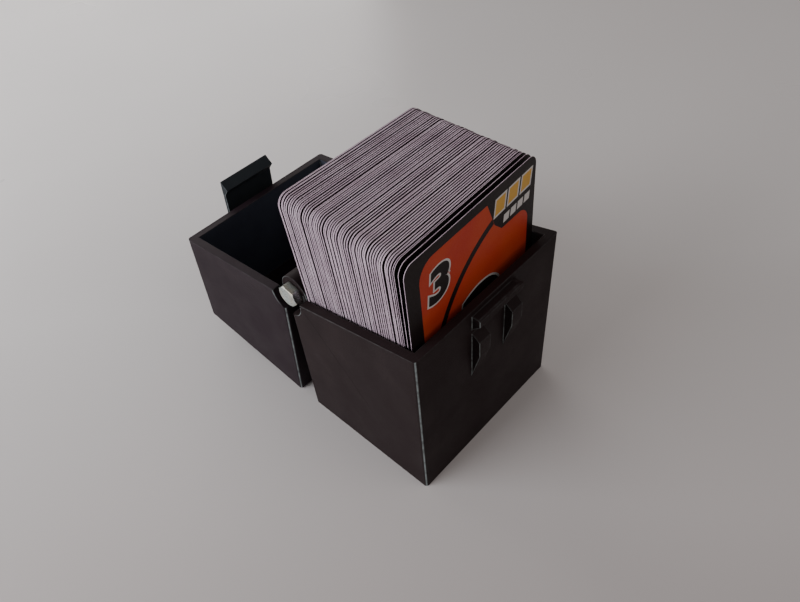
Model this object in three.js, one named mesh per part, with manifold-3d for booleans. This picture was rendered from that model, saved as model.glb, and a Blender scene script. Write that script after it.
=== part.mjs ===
// Hinged card deck box, standing open with its cards in it. Millimetres, +Z up.
// The base box stands on its floor with the catch on its front wall, which faces -Y.
// The lid has swung over the hinge at the back and lies upside down behind the base.
// The origin is the centre of the base's underside.
import * as THREE from "three";
import { mergeVertices } from "three/addons/utils/BufferGeometryUtils.js";
import Module from "manifold-3d";

const wasm = await Module();
wasm.setup();

// ---- driving dimensions ----

const CARD_WIDTH = 56;
const CARD_HEIGHT = 87;
const CARD_THICKNESS = 0.29;
const CARD_CORNER = 3.5;
const CARD_COUNT = 108;
const CARD_PLAY = 1;

// The closed box
const WALL = 3;
const FLOOR = 2.6;
const WIDTH = CARD_WIDTH + CARD_PLAY + 2 * WALL;
const DEPTH = 52;
const HEIGHT = 104.4;
const CORNER = 1.2;
// The parting plane slopes from the front wall down to the hinge wall.
const RIM_FRONT = 63.3;
const RIM_BACK = 51.9;
const RIM_GAP = 0.3;

// The hinge
const HINGE_BEHIND = 1.1;
const HINGE_Y = DEPTH / 2 + HINGE_BEHIND;
const HINGE_Z = HEIGHT / 2;
const BARREL_RADIUS = 5.6;
const BARREL_CLEARANCE = 0.5;
const BARREL_END = 28;
const KNUCKLES = 5;
const KNUCKLE_GAP = 0.5;
// The lid sits a little to one side in the hinge's play.
const LID_SHIFT = -0.15;
const BORE_RADIUS = 2.25;
const POCKET_RADIUS = 6.4;
const OPEN_ANGLE = 174;

// The hex bolt and nut, thread size 4 mm
const BOLT_RADIUS = 2;
const ACROSS_FLATS = 7;
const HEX_TURN = 15;
const HEX_BEVEL_SHARE = 0.6;
const HEAD_HEIGHT = 2.8;
const NUT_HEIGHT = 3.2;
const NUT_BORE_RADIUS = 2.15;
const SEAT_GAP = 0.2;
const BOLT_TIP = 32.4;
const TIP_CHAMFER = 0.5;

// The catch: a bar across the front wall and two ribs under its ends
const CATCH_LEFT = -8.9;
const CATCH_RIGHT = 11;
const BAR_OUT = 2.8;
const BAR_TOP = 61.2;
const BAR_BOTTOM = 55.8;
const BAR_LIP_BOTTOM = 58.4;
const BAR_CHAMFER = 0.5;
const RIB_WIDTH = 4.9;
const RIB_TOP = 54.4;
const RIB_SHOULDER = 52;
const RIB_WAIST = 46;
const RIB_FOOT = 35.2;

// The latch tongue on the lid, as it hangs when the box is closed
const TONGUE_LEFT = -11;
const TONGUE_RIGHT = 9.9;
const TONGUE_INSIDE = 3.7;
const TONGUE_THICKNESS = 1.4;
const TONGUE_TIP = 54;
const BARB_POINT = 1.7;
const BARB_POINT_Z = 56.4;
const BARB_TOP = 59.6;
const TONGUE_TOP = 78;
const ROOT_BOTTOM = 72;
const ROOT_GAP = 0.3;

// The deck, from the front card to the last one, which leans on the hinge barrels.
// The front cards stand apart: the gap is the room behind each, and the lean is in degrees.
const DECK_FRONT = -21.3;
const DECK_SIDE = 0.25;
const FRONT_CARDS = [
  { gap: 0.15, lean: 1 },
  { gap: 0.2, lean: 1.85 },
  { gap: 0.06, lean: 2.45 },
  { gap: 0.2, lean: 2.45 },
];
const PACKETS = 51;
const PACKET_LEAN = 2.65;
const BACK_LEAN = 5.2;
const FRONT_TURN = 2.5;
const DECK_REST_GAP = 0.35;
const CARD_FLOOR_GAP = 0.3;

// Facets of the turned pieces, of the bores and of a quarter of a rounded corner
const ROUND = 48;
const BORE_SIDES = 24;
const CORNER_STEPS = 4;
const HEX_SIDES = 6;
const END_SIDES = 24;
const TRIM = 0.01;
const degrees = THREE.MathUtils.degToRad;

// ---- solids ----

// The closed mesh of a geometry as a manifold solid.
function solid(geometry) {
  const bare = geometry.clone();
  bare.deleteAttribute("normal");
  bare.deleteAttribute("uv");
  const merged = mergeVertices(bare, 1e-4);
  return new wasm.Manifold(
    new wasm.Mesh({
      numProp: 3,
      vertProperties: merged.attributes.position.array,
      triVerts: new Uint32Array(merged.index.array),
    }),
  );
}

// A manifold solid as a named mesh.
function meshOf(name, shape, material) {
  const made = shape.getMesh();
  const geometry = new THREE.BufferGeometry();
  geometry.setAttribute("position", new THREE.BufferAttribute(made.vertProperties, 3));
  geometry.setIndex(new THREE.BufferAttribute(made.triVerts, 1));
  geometry.computeVertexNormals();
  const mesh = new THREE.Mesh(geometry, material);
  mesh.name = name;
  return mesh;
}

function box(x0, x1, y0, y1, z0, z1) {
  const geometry = new THREE.BoxGeometry(x1 - x0, y1 - y0, z1 - z0);
  geometry.translate((x0 + x1) / 2, (y0 + y1) / 2, (z0 + z1) / 2);
  return solid(geometry);
}

// A rectangle with round corners, centred on the origin of its plane.
function roundedRectangle(width, height, radius) {
  const x = width / 2;
  const y = height / 2;
  const shape = new THREE.Shape();
  shape.moveTo(x - radius, -y);
  shape.absarc(x - radius, -y + radius, radius, -Math.PI / 2, 0);
  shape.absarc(x - radius, y - radius, radius, 0, Math.PI / 2);
  shape.absarc(-x + radius, y - radius, radius, Math.PI / 2, Math.PI);
  shape.absarc(-x + radius, -y + radius, radius, Math.PI, Math.PI * 1.5);
  return shape;
}

function uprightPrism(width, depth, radius, z0, z1) {
  const geometry = new THREE.ExtrudeGeometry(roundedRectangle(width, depth, radius), {
    depth: z1 - z0,
    bevelEnabled: false,
    curveSegments: CORNER_STEPS,
  });
  geometry.translate(0, 0, z0);
  return solid(geometry);
}

// An outline of [y, z] points, counterclockwise, extruded from x0 to x1.
function alongX(outline, x0, x1) {
  const shape = new THREE.Shape(outline.map(([y, z]) => new THREE.Vector2(y, z)));
  const geometry = new THREE.ExtrudeGeometry(shape, { depth: x1 - x0, bevelEnabled: false });
  const turn = new THREE.Matrix4().makeBasis(
    new THREE.Vector3(0, 1, 0),
    new THREE.Vector3(0, 0, 1),
    new THREE.Vector3(1, 0, 0),
  );
  geometry.applyMatrix4(turn);
  geometry.translate(x0, 0, 0);
  return solid(geometry);
}

// A cylinder or prism round the hinge axis, from x0 to x1, turned by some degrees about it.
function hingeCylinder(radius, x0, x1, sides = ROUND, turn = 0) {
  const geometry = new THREE.CylinderGeometry(radius, radius, x1 - x0, sides);
  geometry.rotateZ(-Math.PI / 2);
  geometry.rotateX(-degrees(turn));
  geometry.translate((x0 + x1) / 2, HINGE_Y, HINGE_Z);
  return solid(geometry);
}

// The profile of [radius, x] points turned round the hinge axis.
function hingeLathe(profile) {
  const geometry = new THREE.LatheGeometry(
    profile.map(([radius, x]) => new THREE.Vector2(radius, x)),
    ROUND,
  );
  geometry.rotateZ(-Math.PI / 2);
  geometry.translate(0, HINGE_Y, HINGE_Z);
  return solid(geometry);
}

// ---- the two halves of the box ----

function rimHeight(y) {
  return RIM_FRONT + ((RIM_BACK - RIM_FRONT) * (y + DEPTH / 2)) / DEPTH;
}

// Everything below the parting plane, raised by lift.
function belowRim(lift) {
  const far = DEPTH;
  const outline = [
    [-far, -FLOOR],
    [far, -FLOOR],
    [far, rimHeight(far) + lift],
    [-far, rimHeight(-far) + lift],
  ];
  return alongX(outline, -WIDTH, WIDTH);
}

// The closed box, hollow, before it is parted.
function closedShell() {
  const outside = uprightPrism(WIDTH, DEPTH, CORNER, 0, HEIGHT);
  const x = WIDTH / 2 - WALL;
  const y = DEPTH / 2 - WALL;
  return outside.subtract(box(-x, x, -y, y, FLOOR, HEIGHT - FLOOR));
}

// The stretch of knuckle n along the hinge, widened by extra at both ends.
function knuckleStretch(n, extra) {
  const length = (2 * BARREL_END - (KNUCKLES - 1) * KNUCKLE_GAP) / KNUCKLES;
  const start = -BARREL_END + n * (length + KNUCKLE_GAP);
  return [start - extra, start + length + extra];
}

// The pockets in both side walls that the bolt head and the nut sit in.
function cutPockets(half) {
  const near = hingeCylinder(POCKET_RADIUS, -WIDTH, -BARREL_END - SEAT_GAP / 2);
  const far = hingeCylinder(POCKET_RADIUS, BARREL_END + SEAT_GAP / 2, WIDTH);
  return half.subtract(near).subtract(far);
}

// Adds the knuckles of one parity, even on the base and odd on the lid, and clears room for the others.
function addKnuckles(half, parity) {
  let made = cutPockets(half);
  for (let n = 0; n < KNUCKLES; n++) {
    if (n % 2 !== parity) {
      const room = knuckleStretch(n, KNUCKLE_GAP);
      made = made.subtract(hingeCylinder(BARREL_RADIUS + BARREL_CLEARANCE, ...room));
    }
  }
  for (let n = parity; n < KNUCKLES; n += 2) {
    made = made.add(hingeCylinder(BARREL_RADIUS, ...knuckleStretch(n, 0)));
  }
  return made.subtract(hingeCylinder(BORE_RADIUS, -WIDTH, WIDTH, BORE_SIDES));
}

// The catch bar: flat on top, with an underside that slopes back to the wall and a round right end.
function catchBar() {
  const wall = -DEPTH / 2;
  const root = wall + WALL / 2;
  const outline = [
    [root, BAR_BOTTOM],
    [root, BAR_TOP],
    [wall, BAR_TOP],
    [wall - BAR_OUT + BAR_CHAMFER, BAR_TOP],
    [wall - BAR_OUT, BAR_TOP - BAR_CHAMFER],
    [wall - BAR_OUT, BAR_LIP_BOTTOM],
    [wall, BAR_BOTTOM],
  ];
  const radius = (BAR_TOP - BAR_LIP_BOTTOM) / 2;
  const round = new THREE.CylinderGeometry(radius, radius, DEPTH, END_SIDES);
  round.translate(CATCH_RIGHT - radius, wall, BAR_TOP - radius);
  const end = alongX(outline, CATCH_RIGHT - 2 * radius, CATCH_RIGHT).intersect(solid(round));
  return alongX(outline, CATCH_LEFT, CATCH_RIGHT - radius).add(end);
}

function catchRib(x0, x1) {
  const wall = -DEPTH / 2;
  const root = wall + WALL / 2;
  const outline = [
    [wall, RIB_FOOT],
    [root, RIB_FOOT],
    [root, RIB_TOP],
    [wall, RIB_TOP],
    [wall - BAR_OUT, RIB_SHOULDER],
    [wall - BAR_OUT, RIB_WAIST],
  ];
  return alongX(outline, x0, x1);
}

function baseBox() {
  return addKnuckles(closedShell().intersect(belowRim(0)), 0)
    .add(catchBar())
    .add(catchRib(CATCH_LEFT, CATCH_LEFT + RIB_WIDTH))
    .add(catchRib(CATCH_RIGHT - RIB_WIDTH, CATCH_RIGHT));
}

// The pad on the lid's front wall that the tongue springs from.
function tonguePad() {
  const wall = -DEPTH / 2;
  const root = wall + WALL / 2;
  const out = wall - TONGUE_INSIDE + ROOT_GAP;
  const outline = [
    [out, ROOT_BOTTOM],
    [root, ROOT_BOTTOM - TONGUE_INSIDE],
    [root, TONGUE_TOP + TONGUE_INSIDE],
    [out, TONGUE_TOP],
  ];
  return alongX(outline, TONGUE_LEFT, TONGUE_RIGHT);
}

function lidBox() {
  return addKnuckles(closedShell().subtract(belowRim(RIM_GAP)), 1).add(tonguePad());
}

// The tongue: a plate that hangs from its root past the lid's rim, with a barb that points inwards.
function latchTongue() {
  const wall = -DEPTH / 2;
  const inside = wall - TONGUE_INSIDE;
  const outside = inside - TONGUE_THICKNESS;
  const outline = [
    [outside, TONGUE_TIP],
    [wall - BARB_POINT, BARB_POINT_Z],
    [inside, BARB_TOP],
    [inside, TONGUE_TOP],
    [outside, TONGUE_TOP],
  ];
  return alongX(outline, TONGUE_LEFT, TONGUE_RIGHT);
}

// ---- bolt and nut ----

// A hexagon's corners cut back by a cone at both ends, as on a turned head.
function chamferedHex(x0, x1, bevelBothEnds) {
  const corner = ACROSS_FLATS / 2 / Math.cos(Math.PI / HEX_SIDES);
  const bevel = (corner - ACROSS_FLATS / 2) * HEX_BEVEL_SHARE;
  const outer = corner + TRIM;
  const blank = hingeLathe([
    [0, x0],
    [ACROSS_FLATS / 2, x0],
    [outer, x0 + bevel],
    [outer, bevelBothEnds ? x1 - bevel : x1],
    [bevelBothEnds ? ACROSS_FLATS / 2 : outer, x1],
    [0, x1],
  ]);
  return hingeCylinder(corner, x0, x1, HEX_SIDES, HEX_TURN).intersect(blank);
}

function hingeBolt() {
  const seat = -BARREL_END - SEAT_GAP;
  const shank = hingeLathe([
    [0, seat - HEAD_HEIGHT / 2],
    [BOLT_RADIUS, seat - HEAD_HEIGHT / 2],
    [BOLT_RADIUS, BOLT_TIP - TIP_CHAMFER],
    [BOLT_RADIUS - TIP_CHAMFER, BOLT_TIP],
    [0, BOLT_TIP],
  ]);
  return chamferedHex(seat - HEAD_HEIGHT, seat, false).add(shank);
}

function hingeNut() {
  const seat = BARREL_END + SEAT_GAP;
  const blank = chamferedHex(seat, seat + NUT_HEIGHT, true);
  return blank.subtract(hingeCylinder(NUT_BORE_RADIUS, 0, WIDTH, BORE_SIDES));
}

// ---- cards ----

// One card or a packet of neighbours, its lower front edge on the origin, standing in the XZ plane.
function packetGeometry(thickness) {
  const shape = roundedRectangle(CARD_WIDTH, CARD_HEIGHT, CARD_CORNER);
  const geometry = new THREE.ExtrudeGeometry(shape, {
    depth: thickness,
    bevelEnabled: false,
    curveSegments: CORNER_STEPS,
  });
  geometry.rotateX(Math.PI / 2);
  geometry.translate(0, thickness, CARD_HEIGHT / 2);
  return geometry;
}

// The lower edge of the last card's back, where its plane rests on the hinge barrels.
function deckBack() {
  const lean = degrees(BACK_LEAN);
  const reach = BARREL_RADIUS + DECK_REST_GAP + (HINGE_Z - FLOOR) * Math.sin(lean);
  return HINGE_Y - reach / Math.cos(lean);
}

// What stands in the box, from the front: the single cards, then packets of close neighbours.
// Each entry says how many cards it holds, where its lower front edge is and how far it leans.
function deckRows() {
  const rows = [];
  let y = DECK_FRONT;
  for (const { gap, lean } of FRONT_CARDS) {
    rows.push({ cards: 1, y, lean });
    y += CARD_THICKNESS + gap;
  }
  const left = CARD_COUNT - FRONT_CARDS.length;
  const pitch = (deckBack() - y) / left;
  const size = Math.floor(left / PACKETS);
  const larger = left - size * PACKETS;
  for (let n = 0; n < PACKETS; n++) {
    const cards = n < PACKETS - larger ? size : size + 1;
    const lean = THREE.MathUtils.lerp(PACKET_LEAN, BACK_LEAN, n / (PACKETS - 1));
    rows.push({ cards, y, lean });
    y += cards * pitch;
  }
  return rows;
}

function cardName(first, count) {
  const number = (n) => String(n).padStart(3, "0");
  const last = first + count - 1;
  return count === 1 ? `card_${number(first)}` : `cards_${number(first)}_${number(last)}`;
}

// ---- assembly ----

const printed = { roughness: 0.55, metalness: 0 };
const baseFinish = new THREE.MeshStandardMaterial({ color: 0x241f20, ...printed });
const lidFinish = new THREE.MeshStandardMaterial({ color: 0x272124, ...printed });
const tongueFinish = new THREE.MeshStandardMaterial({ color: 0x2a2a2f, ...printed });
const boltFinish = new THREE.MeshStandardMaterial({ color: 0xb9bbae, roughness: 0.35, metalness: 1 });
const nutFinish = new THREE.MeshStandardMaterial({ color: 0xb4b4a8, roughness: 0.4, metalness: 1 });
const cardFinish = new THREE.MeshStandardMaterial({ color: 0xd6cfdb, roughness: 0.5, metalness: 0 });

const group = new THREE.Group();
group.add(meshOf("base_box", baseBox(), baseFinish));
group.add(meshOf("hinge_bolt", hingeBolt(), boltFinish));
group.add(meshOf("hinge_nut", hingeNut(), nutFinish));

// The lid and its tongue are shaped as they are when closed, then swung open round the hinge.
const aboutHinge = new THREE.Group();
aboutHinge.position.set(0, HINGE_Y, HINGE_Z);
aboutHinge.rotation.x = -degrees(OPEN_ANGLE);
const lid = new THREE.Group();
lid.position.set(LID_SHIFT, -HINGE_Y, -HINGE_Z);
lid.add(meshOf("lid_box", lidBox(), lidFinish));
lid.add(meshOf("latch_tongue", latchTongue(), tongueFinish));
aboutHinge.add(lid);
group.add(aboutHinge);

// The deck fans out from the front card, which is turned, to the last, which leans back.
const deck = new THREE.Group();
const rows = deckRows();
let firstCard = 1;
for (const [n, row] of rows.entries()) {
  const geometry = packetGeometry(row.cards * CARD_THICKNESS);
  const mesh = new THREE.Mesh(geometry, cardFinish);
  mesh.name = cardName(firstCard, row.cards);
  mesh.position.set(DECK_SIDE, row.y, FLOOR + CARD_FLOOR_GAP);
  mesh.rotation.order = "ZXY";
  mesh.rotation.x = -degrees(row.lean);
  mesh.rotation.z = degrees(FRONT_TURN * (1 - n / (rows.length - 1)));
  firstCard += row.cards;
  deck.add(mesh);
}
group.add(deck);

export default group;
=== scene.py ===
"""A hinged, printed card deck box that stands open with a deck of cards in it. Metres, +Z up."""

import copy
import math
import random

import bmesh
import bpy
import numpy as np
from mathutils import Matrix, Vector
from mathutils.bvhtree import BVHTree


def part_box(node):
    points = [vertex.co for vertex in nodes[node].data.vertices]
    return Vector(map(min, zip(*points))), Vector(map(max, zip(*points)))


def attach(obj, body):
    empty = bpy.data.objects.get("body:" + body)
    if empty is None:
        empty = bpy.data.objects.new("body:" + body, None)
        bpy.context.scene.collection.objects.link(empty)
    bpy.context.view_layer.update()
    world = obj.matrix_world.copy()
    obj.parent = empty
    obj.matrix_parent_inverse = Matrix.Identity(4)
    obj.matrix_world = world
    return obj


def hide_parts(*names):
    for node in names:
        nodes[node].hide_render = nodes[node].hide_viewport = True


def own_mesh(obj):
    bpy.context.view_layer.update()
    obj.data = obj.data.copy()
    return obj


MM = 0.001

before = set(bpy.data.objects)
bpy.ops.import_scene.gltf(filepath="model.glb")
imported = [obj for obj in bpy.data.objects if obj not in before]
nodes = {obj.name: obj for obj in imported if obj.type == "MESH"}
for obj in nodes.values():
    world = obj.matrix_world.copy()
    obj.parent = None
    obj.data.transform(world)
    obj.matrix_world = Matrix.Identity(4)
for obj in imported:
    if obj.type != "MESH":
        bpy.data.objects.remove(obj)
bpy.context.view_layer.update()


# ---- node materials ----


class Shader:
    """A material with a Principled BSDF, and short ways to add nodes to it."""

    def __init__(self, name, **sockets):
        self.material = bpy.data.materials.new(name)
        self.material.use_nodes = True
        self.tree = self.material.node_tree
        self.bsdf = self.tree.nodes["Principled BSDF"]
        for socket, value in sockets.items():
            self.bsdf.inputs[socket.replace("_", " ")].default_value = value
        coordinates = self.tree.nodes.new("ShaderNodeTexCoord")
        self.place = coordinates.outputs["Object"]
        self.normal = coordinates.outputs["Normal"]

    def wire(self, source, target):
        self.tree.links.new(source, target)

    def node(self, kind, inputs=(), **settings):
        made = self.tree.nodes.new("ShaderNode" + kind)
        for name, value in settings.items():
            setattr(made, name, value)
        for key, value in dict(inputs).items():
            if isinstance(value, bpy.types.NodeSocket):
                self.wire(value, made.inputs[key])
            else:
                made.inputs[key].default_value = value
        return made

    def turned(self, degrees):
        """Object coordinates turned about the hinge's direction, for a piece that lies tilted."""
        turn = (math.radians(degrees), 0, 0)
        return self.node("Mapping", {"Vector": self.place, "Rotation": turn}).outputs[0]

    def turned_flat(self, degrees):
        """Object coordinates turned about the vertical."""
        turn = (0, 0, math.radians(degrees))
        return self.node("Mapping", {"Vector": self.place, "Rotation": turn}).outputs[0]

    def noise(self, scale, detail=3.0, place=None, roughness=0.55):
        inputs = {
            "Vector": place or self.place,
            "Scale": scale,
            "Detail": detail,
            "Roughness": roughness,
        }
        return self.node("TexNoise", inputs).outputs["Fac"]

    def ramp(self, value, low, high, start=0.0, end=1.0):
        inputs = {"Value": value, "From Min": low, "From Max": high, "To Min": start, "To Max": end}
        return self.node("MapRange", inputs).outputs[0]

    def maths(self, operation, a, b=0.0):
        return self.node("Math", {0: a, 1: b}, operation=operation).outputs[0]

    def mix(self, factor, a, b):
        made = self.node("Mix", {0: factor}, data_type="RGBA")
        for key, value in ((6, a), (7, b)):
            if isinstance(value, bpy.types.NodeSocket):
                self.wire(value, made.inputs[key])
            else:
                made.inputs[key].default_value = (*value, 1)
        return made.outputs[2]

    def colour(self, socket):
        self.wire(socket, self.bsdf.inputs["Base Color"])

    def roughness(self, socket):
        self.wire(socket, self.bsdf.inputs["Roughness"])

    def bump(self, *layers):
        """Each layer is a height socket, its depth in metres and its strength."""
        last = None
        for height, depth, strength in layers:
            inputs = {"Height": height, "Distance": depth, "Strength": strength}
            if last is not None:
                inputs["Normal"] = last
            last = self.node("Bump", inputs).outputs[0]
        self.wire(last, self.bsdf.inputs["Normal"])


LAYER = 0.2 * MM
# Blender's wave texture runs through this many radians in one unit at scale 1
WAVE_RADIANS = 20


def printed_plastic(name, dark, light, highlight_tint, tilt=0.0, edge=False, gloss=0.09):
    """Matte printed plastic: fine layer lines, soft mottling, smudges, and a painted highlight that colours
    the upright corners pale.
    The edge variant is for the narrow faces round the edges, where the painted highlight is wider."""
    shader = Shader(name, Specular_IOR_Level=gloss)
    place = shader.turned(tilt)
    lines = shader.node(
        "TexWave",
        {"Vector": place, "Scale": math.tau / LAYER / WAVE_RADIANS, "Distortion": 0.6, "Detail": 1.0},
        wave_type="BANDS",
        bands_direction="Z",
        wave_profile="SIN",
    ).outputs["Fac"]
    # Bands some layers high, as the extruder's flow drifts
    stretched = shader.node("Mapping", {"Vector": place, "Scale": (1, 1, 26)}).outputs[0]
    bands = shader.noise(34, 3, stretched)
    mottle = shader.noise(90, 5)
    smudge = shader.noise(45, 4, roughness=0.7)
    base = shader.mix(shader.ramp(mottle, 0.35, 0.7), dark, light)
    base = shader.mix(shader.ramp(bands, 0.5, 0.85, 0, 0.3), base, light)
    # Painted highlight on the corners: a paler colour where the surface turns from one upright side to the
    # next
    axes = shader.node("SeparateXYZ", {0: shader.normal}).outputs
    corner = shader.maths("ABSOLUTE", shader.maths("MULTIPLY", axes[0], axes[1]))
    highlight_breakup = shader.noise(520, 4)
    if edge:
        upright = shader.ramp(shader.maths("ABSOLUTE", axes[2]), 0.2, 0.5, 1, 0)
        highlight_mask = shader.maths("MULTIPLY", shader.ramp(corner, 0.05, 0.3, 0, 0.85), upright)
        highlight_mask = shader.maths("ADD", highlight_mask, 0.08)
        highlight_line = shader.maths("MULTIPLY", highlight_mask, shader.ramp(highlight_breakup, 0.35, 0.6, 0.25, 1))
    else:
        highlight_mask = shader.ramp(corner, 0.43, 0.49)
        highlight_line = shader.maths("MULTIPLY", highlight_mask, shader.ramp(highlight_breakup, 0.3, 0.62, 0.3, 1))
    # The pale corner colour is a painted highlight, mixed into the plastic's own colour
    shader.colour(shader.mix(highlight_line, base, highlight_tint))
    rough = shader.ramp(smudge, 0.35, 0.75, 0.62, 0.5)
    shader.roughness(shader.maths("SUBTRACT", rough, shader.maths("MULTIPLY", highlight_line, 0.15)))
    grain = shader.noise(2600, 2)
    shader.bump((lines, 0.03 * MM, 0.55), (bands, 0.05 * MM, 0.5), (grain, 0.02 * MM, 0.5))
    return shader.material


def printed_set(name, dark, light, highlight_tint=(0.26, 0.3, 0.3), tilt=0.0):
    """The plastic of a printed piece's faces, of the inside of its walls, and of its narrow edge faces. The
    inside copy is lighter and bluer, a painted cool reflection, and the pale corner tint is a painted
    highlight.
    """
    # The inside copy is lighter and bluer than the plastic: a painted cool reflection
    inside = [(2.6 * shade[0], 4.6 * shade[1], 4.8 * shade[2]) for shade in (dark, light)]
    return [
        printed_plastic(name, dark, light, highlight_tint, tilt),
        printed_plastic(name + "_inside", *inside, highlight_tint, tilt, gloss=0.2),
        printed_plastic(name + "_edge", dark, light, highlight_tint, tilt, edge=True),
    ]


def plated_steel(name, tint):
    """Zinc-plated steel: fine scratches and a faint yellow and blue bloom."""
    shader = Shader(name, Metallic=1.0)
    bloom = shader.noise(420, 3)
    base = shader.mix(shader.ramp(bloom, 0.48, 0.75), tint, (0.66, 0.60, 0.46))
    base = shader.mix(shader.ramp(shader.noise(260, 2), 0.45, 0.75, 0, 0.6), base, (0.42, 0.52, 0.5))
    shader.colour(base)
    streaks = shader.node("Mapping", {"Vector": shader.place, "Scale": (1, 0.2, 1)}).outputs[0]
    scratches = shader.noise(3200, 4, streaks)
    shader.roughness(shader.ramp(scratches, 0.3, 0.7, 0.22, 0.42))
    shader.bump((scratches, 0.03 * MM, 0.4), (bloom, 0.08 * MM, 0.3))
    return shader.material


def card_stock(name):
    """The cut edge of a card: pale board with fibres and a little soil."""
    shader = Shader(name, Specular_IOR_Level=0.3)
    soil = shader.noise(160, 4)
    fibre = shader.noise(5200, 3)
    # A tone of its own for each card, across the deck
    fine = shader.node("Mapping", {"Vector": shader.place, "Scale": (40, 2600, 40)}).outputs[0]
    tone = shader.noise(1, 2, fine)
    base = shader.mix(shader.ramp(soil, 0.35, 0.7), (0.60, 0.46, 0.55), (0.78, 0.64, 0.74))
    base = shader.mix(shader.ramp(tone, 0.42, 0.7, 0, 0.55), base, (0.36, 0.25, 0.33))
    shader.colour(shader.mix(shader.ramp(fibre, 0.45, 0.7, 0, 0.12), base, (0.48, 0.36, 0.44)))
    shader.roughness(shader.ramp(fibre, 0.3, 0.7, 0.5, 0.75))
    shader.bump((fibre, 0.01 * MM, 0.3))
    return shader.material


def ink(name, shade, other, gloss=0.38, level=0.3):
    """Printed and varnished card: two near shades, linen grain and a soft gloss."""
    shader = Shader(name, Specular_IOR_Level=level)
    cloud = shader.noise(60, 3)
    shader.colour(shader.mix(shader.ramp(cloud, 0.35, 0.68), shade, other))
    grain = shader.noise(2400, 2)
    shader.roughness(shader.ramp(grain, 0.3, 0.7, gloss, gloss + 0.12))
    shader.bump((grain, 0.01 * MM, 0.5))
    return shader.material


# The open lid and its tongue lie tilted by this many degrees, and their printed layers with them
LID_TILT = 6
base_plastic = printed_set("printed_base", (0.0180, 0.0112, 0.0118), (0.0220, 0.0142, 0.0148))
lid_plastic = printed_set(
    "printed_lid", (0.0190, 0.0118, 0.0156), (0.0235, 0.0154, 0.0192), tilt=LID_TILT
)
# The tongue's third colour is the tint of its painted corner highlight
tongue_plastic = printed_set(
    "printed_tongue", (0.0220, 0.0270, 0.0310), (0.0300, 0.0360, 0.0410), (0.3, 0.33, 0.34), LID_TILT
)
bolt_steel = plated_steel("plated_bolt", (0.60, 0.65, 0.62))
nut_steel = plated_steel("plated_nut", (0.6, 0.61, 0.57))
paper = card_stock("card_board")
black_ink = ink("card_ink_black", (0.012, 0.0075, 0.0075), (0.017, 0.0115, 0.0115), level=0.16)
field_ink = ink("card_ink_orange", (0.50, 0.040, 0.018), (0.55, 0.066, 0.016), level=0.2)
white_ink = ink("card_ink_white", (0.62, 0.6, 0.58), (0.7, 0.68, 0.66))
gold_ink = ink("card_ink_gold", (0.62, 0.33, 0.04), (0.72, 0.42, 0.07))
blue_ink = ink("card_ink_blue", (0.02, 0.05, 0.12), (0.03, 0.07, 0.15))


# ---- pieces ----


def new_object(name, mesh, materials, body):
    mesh.name = name
    for material in materials:
        mesh.materials.append(material)
    obj = bpy.data.objects.new(name, mesh)
    bpy.context.scene.collection.objects.link(obj)
    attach(obj, body)
    return obj


WALLS_APART = 20 * MM
OFF_FACE = 0.05 * MM


def mark_inside(bm):
    """Gives the second material, the copy with the painted reflection, to faces that look at the piece's own
    opposite wall.
    """
    bm.normal_update()
    tree = BVHTree.FromBMesh(bm)
    for face in bm.faces:
        start = face.calc_center_median() + face.normal * OFF_FACE
        hit = tree.ray_cast(start, face.normal)
        if hit[0] is not None and hit[3] > WALLS_APART:
            face.material_index = 1


# The catch bar's round end starts here along the bar, ahead of the wall and between two heights
CATCH_SQUARE = 8.8 * MM
CATCH_WALL = -25.9 * MM
CATCH_LOW, CATCH_HIGH = 57 * MM, 62 * MM
CATCH_MARGIN = 0.1 * MM


def at_catch_end(point):
    """Whether a point belongs to the round end of the catch bar, on the front wall."""
    ahead = point.x > CATCH_SQUARE + CATCH_MARGIN and point.y < CATCH_WALL
    return ahead and CATCH_LOW < point.z < CATCH_HIGH


WELD = 0.002 * MM
FLAT_WITHIN = math.radians(1)
SHARP_FROM = math.radians(30)
ROUND_SEGMENTS = 3


def refined(node, name, materials, body, round_over):
    """A CAD node's shape with clean flat faces, rounded edges and smooth curves."""
    bm = bmesh.new()
    bm.from_mesh(nodes[node].data)
    bmesh.ops.remove_doubles(bm, verts=bm.verts, dist=WELD)
    bmesh.ops.dissolve_limit(
        bm, angle_limit=FLAT_WITHIN, verts=bm.verts, edges=bm.edges, use_dissolve_boundaries=False
    )
    if len(materials) > 1:
        mark_inside(bm)
    # The catch bar's edges are parted where its round end begins, and the round end stays crisp
    near = [face for face in bm.faces if any(at_catch_end(v.co) for v in face.verts)]
    near += list({edge for face in near for edge in face.edges} | {v for face in near for v in face.verts})
    if near:
        cut_at = (CATCH_SQUARE, 0, 0)
        bmesh.ops.bisect_plane(bm, geom=near, dist=WELD / 2, plane_co=cut_at, plane_no=(1, 0, 0))
    # Only edges long enough to hold the rounding get it
    weights = bm.edges.layers.float.new("bevel_weight_edge")
    for edge in bm.edges:
        sharp = len(edge.link_faces) == 2 and edge.calc_face_angle() > SHARP_FROM
        crisp = any(at_catch_end(v.co) for v in edge.verts)
        edge[weights] = 1.0 if sharp and not crisp and edge.calc_length() > 2 * round_over else 0.0
    mesh = bpy.data.meshes.new(name)
    bm.to_mesh(mesh)
    bm.free()
    for face in mesh.polygons:
        face.use_smooth = True
    mesh.set_sharp_from_angle(angle=SHARP_FROM)
    obj = new_object(name, mesh, materials, body)
    bevel = obj.modifiers.new("round_over", "BEVEL")
    bevel.limit_method = "WEIGHT"
    bevel.width = round_over
    bevel.segments = ROUND_SEGMENTS
    bevel.use_clamp_overlap = False
    bevel.material = len(materials) - 1
    even = obj.modifiers.new("even_shading", "WEIGHTED_NORMAL")
    even.keep_sharp = True
    even.weight = 100
    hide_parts(node)
    return obj


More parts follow.
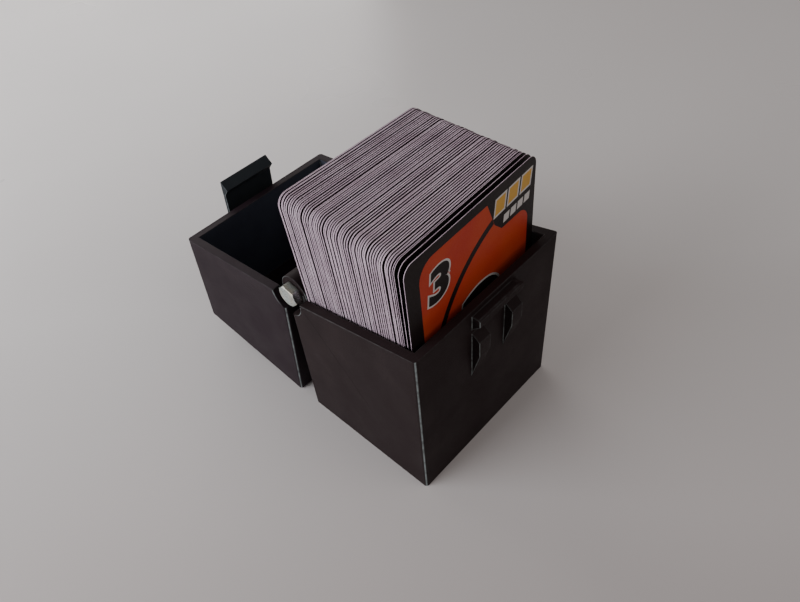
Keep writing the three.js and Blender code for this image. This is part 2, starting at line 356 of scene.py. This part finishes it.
BOX_ROUND = 0.25 * MM
TONGUE_ROUND = 0.2 * MM
refined("base_box", "base_shell", base_plastic, "base", BOX_ROUND)
refined("lid_box", "lid_shell", lid_plastic, "lid", BOX_ROUND)
refined("latch_tongue", "tongue", tongue_plastic, "tongue", TONGUE_ROUND)

# ---- the hex bolt and its nut ----

TURN_STEPS = 72
TURNED_SHARP = math.radians(24)
HEX_TURN = 15
HEX_CORNER = 0.985
FLAT = 3.5 * MM
FACE_RADIUS = 3.3 * MM
FACE_SLOPE = 0.5
THREAD_PITCH = 0.7 * MM
THREAD_DEPTH = 0.22 * MM


def hexagon(angle):
    """The radius of the hexagon at an angle in degrees, its corners slightly rounded."""
    off = (angle - HEX_TURN) % 60 - 30
    corner = HEX_CORNER * FLAT / math.cos(math.radians(30))
    return min(FLAT / math.cos(math.radians(off)), corner)


def turned_piece(name, rings, axis, closed, material, node):
    """A piece made of rings round the hinge axis. Each ring gives its x and its radius at an angle."""
    bm = bmesh.new()
    made = []
    for ring in rings:
        row = []
        for k in range(TURN_STEPS):
            angle = 360 * k / TURN_STEPS
            x, radius = ring(angle)
            a = math.radians(angle)
            row.append(bm.verts.new((x, axis.y + radius * math.cos(a), axis.z + radius * math.sin(a))))
        made.append(row)
    pairs = list(zip(made, made[1:])) + ([(made[-1], made[0])] if closed else [])
    for a, b in pairs:
        for k in range(TURN_STEPS):
            j = (k + 1) % TURN_STEPS
            bm.faces.new((a[k], a[j], b[j], b[k]))
    if not closed:
        bm.faces.new(made[0][::-1])
        bm.faces.new(made[-1])
    bmesh.ops.recalc_face_normals(bm, faces=bm.faces)
    mesh = bpy.data.meshes.new(name)
    bm.to_mesh(mesh)
    bm.free()
    for face in mesh.polygons:
        face.use_smooth = True
    mesh.set_sharp_from_angle(angle=TURNED_SHARP)
    obj = new_object(name, mesh, [material], "base")
    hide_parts(node)


def circle(x, radius):
    return lambda angle: (x, radius)


def hex_ring(x):
    return lambda angle: (x, hexagon(angle))


def hex_rim(x, side):
    """Where the flats meet the cone that cuts their corners back."""
    return lambda angle: (x - side * (hexagon(angle) - FACE_RADIUS) * FACE_SLOPE, hexagon(angle))


def thread_ring(x, shank, taper):
    """A helical ridge: the radius falls away from each crest, along the axis and with the angle."""

    def radius(angle):
        phase = (x / THREAD_PITCH - angle / 360) % 1
        return x, shank - taper - THREAD_DEPTH * abs(2 * phase - 1)

    return radius


head_low, head_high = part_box("hinge_bolt")
nut_low, nut_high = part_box("hinge_nut")
hinge_axis = (nut_low + nut_high) / 2
HEAD_HEIGHT = 2.8 * MM
SHANK = 2.0 * MM
FACE_CENTRE = 0.9 * FACE_RADIUS
THREAD_FROM = 24 * MM
THREAD_STEPS = 84
TIP_FROM = 0.955
TIP_TAPER = 0.35 * MM
NUT_BORE = 2.15 * MM
NUT_LEAD = 0.3 * MM

x0, x1 = head_low.x, head_high.x
seat = x0 + HEAD_HEIGHT
rings = [circle(x0, FACE_CENTRE), circle(x0, FACE_RADIUS), hex_rim(x0, -1), hex_ring(seat)]
rings += [circle(seat, SHANK), circle(THREAD_FROM, SHANK)]
for k in range(THREAD_STEPS + 1):
    share = k / THREAD_STEPS
    x = THREAD_FROM + (x1 - THREAD_FROM) * share
    tip = max(0.0, (share - TIP_FROM) / (1 - TIP_FROM))
    rings.append(thread_ring(x, SHANK, TIP_TAPER * tip))
turned_piece("bolt", rings, hinge_axis, False, bolt_steel, "hinge_bolt")

x0, x1 = nut_low.x, nut_high.x
rings = [circle(x0 + NUT_LEAD, NUT_BORE), circle(x0, NUT_BORE + NUT_LEAD)]
rings += [circle(x0, FACE_RADIUS), hex_rim(x0, -1)]
rings += [hex_rim(x1, 1), circle(x1, FACE_RADIUS)]
rings += [circle(x1, NUT_BORE + NUT_LEAD), circle(x1 - NUT_LEAD, NUT_BORE)]
turned_piece("nut", rings, hinge_axis, True, nut_steel, "hinge_nut")


# ---- the deck ----

# Drawn cards are thinner than the CAD's, so that gaps show between the packets
CARD_T = 0.205 * MM
CARD_R = 3.5 * MM
INK_EDGE = 0.022 * MM
CORNER_STEPS = 7
SINGLE_CARDS = 4
BUNCH = 13
SLIDE = 0.12 * MM
RISE = 0.09 * MM
# The least share of the spare room that a gap takes, and how much more it may take by chance
GAP_LEAST, GAP_CHANCE = 0.5, 1.3
# The gaps at the cards' feet are this even, and follow the gaps at the top for the rest
FOOT_EVEN = 0.4
PAPER, BLACK, FIELD, WHITE, GOLD, BLUE = range(6)


class Place:
    """Where a card stands: its centre and its width, thickness and height directions."""

    def __init__(self, centre, across, through, up, width, height):
        self.centre, self.across, self.through, self.up = centre, across, through, up
        self.width, self.height = width, height

    def point(self, u, n, v):
        return self.centre + self.across * u + self.through * n + self.up * v


def measure(node):
    """The lie and thickness of a CAD card or packet, from its own vertices."""
    points = np.array([list(v.co) for v in nodes[node].data.vertices])
    points = np.unique(np.round(points, 8), axis=0)
    axes = np.linalg.eigh(np.cov((points - points.mean(0)).T))[1].T
    through, across, up = (Vector(axis) for axis in axes)
    through = through if through.y > 0 else -through
    across = across if across.x > 0 else -across
    up = up if up.z > 0 else -up
    centre, spans = Vector(), []
    for axis in (across, through, up):
        reach = points @ np.array(axis)
        centre += axis * float(reach.max() + reach.min()) / 2
        spans.append(float(reach.max() - reach.min()))
    return Place(centre, across, through, up, spans[0], spans[2]), spans[1]


def rounded(width, height, radius):
    """The points of a rectangle with round corners, counterclockwise."""
    points = []
    for n, (sx, sy) in enumerate(((1, -1), (1, 1), (-1, 1), (-1, -1))):
        cx, cy = sx * (width / 2 - radius), sy * (height / 2 - radius)
        for k in range(CORNER_STEPS + 1):
            a = math.pi / 2 * (n - 1 + k / CORNER_STEPS)
            points.append((cx + radius * math.cos(a), cy + radius * math.sin(a)))
    return points


def add_card(bm, place):
    """One card: dark printed faces, slightly rolled over at the rim, and a pale cut edge."""
    rolled = 0.5 - INK_EDGE / CARD_T
    rings = []
    for inset, n in ((INK_EDGE, -0.5), (0, -rolled), (0, rolled), (INK_EDGE, 0.5)):
        outline = rounded(place.width - 2 * inset, place.height - 2 * inset, CARD_R - inset)
        rings.append([bm.verts.new(place.point(u, n * CARD_T, v)) for u, v in outline])
    count = len(rings[0])
    for level, (a, b) in enumerate(zip(rings, rings[1:])):
        for i in range(count):
            j = (i + 1) % count
            face = bm.faces.new((a[i], a[j], b[j], b[i]))
            face.material_index = PAPER if level == 1 else BLACK
    bm.faces.new(rings[0][::-1]).material_index = BLACK
    bm.faces.new(rings[-1]).material_index = BLACK


# ---- the print on the outermost cards ----

INK = 0.006 * MM
ITALIC = 0.14
BAND_STEPS = 40
OVAL_STEPS = 60
BOLD = 0.045


def add_plate(bm, place, side, level, points, material):
    """A flat patch of ink in the shape of the outline, on the card's front (-1) or back (1)."""
    near, far = side * (CARD_T / 2 + level * INK), side * (CARD_T / 2 - INK)
    outer = [bm.verts.new(place.point(u, near, v)) for u, v in points]
    inner = [bm.verts.new(place.point(u, far, v)) for u, v in points]
    if side > 0:
        outer.reverse()
        inner.reverse()
    made = [bm.faces.new(outer), bm.faces.new(inner[::-1])]
    for i in range(len(points)):
        j = (i + 1) % len(points)
        made.append(bm.faces.new((outer[j], outer[i], inner[i], inner[j])))
    for face in made:
        face.material_index = material


def arc(cx, cy, radius, start, end, steps):
    """Points along a circle's arc, from one angle in degrees to another."""
    turns = [math.radians(start + (end - start) * k / steps) for k in range(steps + 1)]
    return [(cx + radius * math.cos(a), cy + radius * math.sin(a)) for a in turns]


def millimetres(points):
    return [(u * MM, v * MM) for u, v in points]


def band(cx, cy, radius, width, start, end):
    """The outline of a stretch of a ring."""
    outside = arc(cx, cy, radius + width / 2, start, end, BAND_STEPS)
    inside = arc(cx, cy, radius - width / 2, end, start, BAND_STEPS)
    return millimetres(outside + inside)


def slanted(u, v, length, height, rise, lean):
    """A parallelogram whose long sides climb to the right and whose short sides lean."""
    return millimetres(
        [(u, v), (u + length, v + rise), (u + length + lean, v + rise + height), (u + lean, v + height)]
    )


def add_numeral(bm, place, side, digit, centre, height, stretch, outline, turned=False):
    """A bold numeral with a pale outline, as thin raised ink."""
    for level, offset, material in ((2, BOLD + outline, WHITE), (3, BOLD, BLACK)):
        text = bpy.data.curves.new("numeral", "FONT")
        text.body = digit
        text.align_x, text.align_y = "CENTER", "CENTER"
        text.offset = offset
        text.extrude = 0.01
        text.resolution_u = 8
        holder = bpy.data.objects.new("numeral", text)
        bpy.context.scene.collection.objects.link(holder)
        bpy.context.view_layer.update()
        shape = bpy.data.meshes.new_from_object(holder.evaluated_get(bpy.context.evaluated_depsgraph_get()))
        bpy.data.objects.remove(holder)
        bpy.data.curves.remove(text)
        points = np.array([list(v.co) for v in shape.vertices])
        middle = (points.max(0) + points.min(0)) / 2
        if level == 2:
            scale = height * MM / (points.max(0) - points.min(0))[1]
        flip = -1 if turned else 1
        before = set(bm.faces)
        bm.from_mesh(shape)
        bpy.data.meshes.remove(shape)
        bmesh.ops.delete(bm, geom=[v for v in bm.verts if not v.link_faces], context="VERTS")
        fresh = [face for face in bm.faces if face not in before]
        for vertex in {v for face in fresh for v in face.verts}:
            x, y, z = vertex.co - Vector(middle)
            u = (stretch * x + ITALIC * y) * scale * flip * -side + centre[0] * MM
            v = y * scale * flip + centre[1] * MM
            near = CARD_T / 2 + (level * INK if z > 0 else -INK)
            vertex.co = place.point(u, side * near, v)
        for face in fresh:
            face.material_index = material
            face.smooth = False
        if side > 0:
            bmesh.ops.reverse_faces(bm, faces=fresh)


def card_field(left, right, top, bottom, cut):
    """The coloured field's outline: round corners, and one corner cut away for the emblem."""
    points = arc(left + 6, bottom + 6, 6, 180, 270, 8) + arc(right - 6, bottom + 6, 6, 270, 360, 8)
    points += arc(right - 5, cut[0][1] - 5, 5, 0, 75, 8) + cut
    points += arc(left + 6, top - 6, 6, 90, 180, 10)
    return millimetres(points)


def print_front(bm, place):
    """An orange field with a stripe, a numeral in the corner and a large one in the middle."""
    half = place.height / MM / 2
    cut = [(12.0, 71.6 - half), (8.6, 75.0 - half), (5.2, 83.8 - half)]
    field = card_field(-22.9, 24.9, 83.8 - half, 3.2 - half, cut)
    add_plate(bm, place, -1, 1, field, FIELD)
    add_plate(bm, place, -1, 2, band(22.0, 37.9 - half, 41.3, 2.2, 110, 229), BLACK)
    small = {"height": 12.8, "stretch": 1.2, "outline": 0.035}
    large = {"height": 33.6, "stretch": 1.06, "outline": 0.016}
    add_numeral(bm, place, -1, "3", (-15.4, 73.1 - half), **small)
    add_numeral(bm, place, -1, "3", (17.5, 14.3 - half), **small, turned=True)
    add_numeral(bm, place, -1, "3", (1.0, 42.6 - half), **large)
    # A plain emblem of slanted bars
    for k in range(3):
        add_plate(bm, place, -1, 2, slanted(8.0 + 6.1 * k, 77.2 - half + 0.15 * k, 5.4, 6.0, 0.2, 0.9), WHITE)
        add_plate(bm, place, -1, 3, slanted(8.6 + 6.1 * k, 77.8 - half + 0.15 * k, 4.3, 4.8, 0.2, 0.75), GOLD)
    for k in range(4):
        add_plate(bm, place, -1, 3, slanted(12.6 + 3.3 * k, 73.0 - half + 0.1 * k, 2.6, 2.6, 0.1, 0.4), WHITE)


def print_back(bm, place):
    """A deep blue field with a pale oval ring, on the last card's back."""
    margin = 4
    half_u, half_v = place.width / MM / 2 - margin, place.height / MM / 2 - margin
    field = millimetres(rounded(2 * half_u, 2 * half_v, 6))
    add_plate(bm, place, 1, 1, field, BLUE)
    turns = [math.tau * k / OVAL_STEPS for k in range(OVAL_STEPS)]
    ring = [(0.36 * half_v * math.cos(a), 0.62 * half_v * math.sin(a)) for a in turns]
    inner = [(0.9 * u, 0.94 * v) for u, v in ring]
    add_plate(bm, place, 1, 2, millimetres(ring), WHITE)
    add_plate(bm, place, 1, 3, millimetres(inner), BLUE)


card_nodes = sorted(name for name in nodes if name.startswith("card"))
names, places = [], []
for name in card_nodes:
    packet, thick = measure(name)
    numbers = [int(part) for part in name.split("_")[1:]]
    count = numbers[-1] - numbers[0] + 1
    for k in range(count):
        place = copy.copy(packet)
        place.centre = packet.centre + packet.through * (thick * ((k + 0.5) / count - 0.5))
        names.append(name)
        places.append(place)

# Cards cling together inside their packets, so the gaps open between packets, more at the top.
draw = random.Random(11)
anchors = list(range(SINGLE_CARDS, len(places) - 1, BUNCH)) + [len(places) - 1]
for first, last in zip(anchors, anchors[1:]):
    a, b = places[first], places[last]
    tops = a.point(0, 0, a.height / 2), b.point(0, 0, b.height / 2)
    feet = a.point(0, 0, -a.height / 2), b.point(0, 0, -b.height / 2)
    slots = last - first
    loose = [
        0.0 if names[k] == names[k + 1] else GAP_LEAST + GAP_CHANCE * draw.random() ** 2
        for k in range(first, last)
    ]
    settled = [FOOT_EVEN + (1 - FOOT_EVEN) * w for w in loose]
    spare_top = (tops[1] - tops[0]).length - slots * CARD_T
    spare_foot = (feet[1] - feet[0]).length - slots * CARD_T
    run_top = run_foot = 0.0
    for k in range(1, slots):
        run_top += CARD_T + spare_top * loose[k - 1] / sum(loose)
        run_foot += CARD_T + spare_foot * settled[k - 1] / sum(settled)
        top = tops[0].lerp(tops[1], run_top / (tops[1] - tops[0]).length)
        foot = feet[0].lerp(feet[1], run_foot / (feet[1] - feet[0]).length)
        place = places[first + k]
        place.up = (top - foot).normalized()
        place.across = a.across.lerp(b.across, k / slots).normalized()
        place.through = place.up.cross(place.across).normalized()
        place.centre = (top + foot) / 2

slides = {name: (draw.uniform(-SLIDE, SLIDE), draw.uniform(-RISE, RISE)) for name in card_nodes}
for name, place in zip(names[1:], places[1:]):
    place.centre = place.centre + place.across * slides[name][0] + place.up * slides[name][1]

card_materials = [paper, black_ink, field_ink, white_ink, gold_ink, blue_ink]
for name in card_nodes:
    bm = bmesh.new()
    for place in (p for n, p in zip(names, places) if n == name):
        add_card(bm, place)
        if place is places[0]:
            print_front(bm, place)
        if place is places[-1]:
            print_back(bm, place)
    mesh = bpy.data.meshes.new(name)
    bm.to_mesh(mesh)
    bm.free()
    obj = new_object("deck_" + name, mesh, card_materials, "base")
    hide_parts(name)
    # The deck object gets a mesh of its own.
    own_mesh(obj)


# ---- camera, light and floor ----


def aim(obj, back, roll=0.0):
    turn = (-back).to_track_quat("-Z", "Y").to_matrix()
    obj.rotation_mode = "QUATERNION"
    obj.rotation_quaternion = (turn @ Matrix.Rotation(math.radians(roll), 3, "Z")).to_quaternion()


def direction(azimuth, elevation):
    a, e = math.radians(azimuth), math.radians(elevation)
    return Vector((math.sin(a) * math.cos(e), -math.cos(a) * math.cos(e), math.sin(e)))


camera = bpy.data.objects.new("camera", bpy.data.cameras.new("camera"))
bpy.context.scene.collection.objects.link(camera)
camera.data.lens = 30.83
camera.data.sensor_width = 36
camera.data.clip_start = 10 * MM
# The photo's viewpoint, as fitted to the box and the cards
VIEW_AZIMUTH, VIEW_ELEVATION, VIEW_ROLL, VIEW_DISTANCE = -42.74, 46.59, -6.32, 225.6 * MM
VIEW_CENTRE = Vector((0.5, 11.6, 34.5)) * MM
back = direction(VIEW_AZIMUTH, VIEW_ELEVATION)
camera.location = VIEW_CENTRE + back * VIEW_DISTANCE
aim(camera, back, VIEW_ROLL)
bpy.context.scene.camera = camera


def area_light(name, azimuth, elevation, distance, width, height, power, tint):
    data = bpy.data.lights.new(name, "AREA")
    data.shape = "RECTANGLE"
    data.size, data.size_y = width, height
    data.energy = power
    data.color = tint
    light = bpy.data.objects.new(name, data)
    bpy.context.scene.collection.objects.link(light)
    towards = direction(azimuth, elevation)
    light.location = VIEW_CENTRE + towards * distance
    aim(light, towards)


area_light("window_light", -116, 22, 0.66, 0.55, 0.4, 4.7, (0.96, 0.965, 1.0))
area_light("far_light", 166, 15, 1.0, 1.1, 0.4, 4.2, (1.0, 0.965, 0.95))
area_light("front_light", 20, 40, 1.3, 1.0, 1.0, 3.4, (1.0, 0.94, 0.92))

world = bpy.data.worlds.new("studio")
bpy.context.scene.world = world
world.use_nodes = True
world.node_tree.nodes["Background"].inputs["Color"].default_value = (1.0, 0.91, 0.88, 1)
world.node_tree.nodes["Background"].inputs["Strength"].default_value = 0.21

FLOOR_HALF = 5.0
floor_mesh = bpy.data.meshes.new("floor")
signs = ((-1, -1), (1, -1), (1, 1), (-1, 1))
floor_mesh.from_pydata([(x * FLOOR_HALF, y * FLOOR_HALF, 0) for x, y in signs], [], [(0, 1, 2, 3)])
floor = bpy.data.objects.new("floor", floor_mesh)
bpy.context.scene.collection.objects.link(floor)
table = Shader("table_top", Roughness=0.3, Specular_IOR_Level=0.5)
cloud = table.mix(table.ramp(table.noise(2.2, 2), 0.3, 0.7), (0.72, 0.70, 0.69), (0.76, 0.745, 0.74))
# Painted shade: the table's tone deepens gently towards the front, where the light falls off
across = table.node("SeparateXYZ", {0: table.turned_flat(43)}).outputs
table.colour(table.mix(table.ramp(across[1], -0.13, 0.05), (0.47, 0.425, 0.41), cloud))
table.roughness(table.ramp(table.noise(9, 3), 0.3, 0.7, 0.26, 0.34))
floor_mesh.materials.append(table.material)
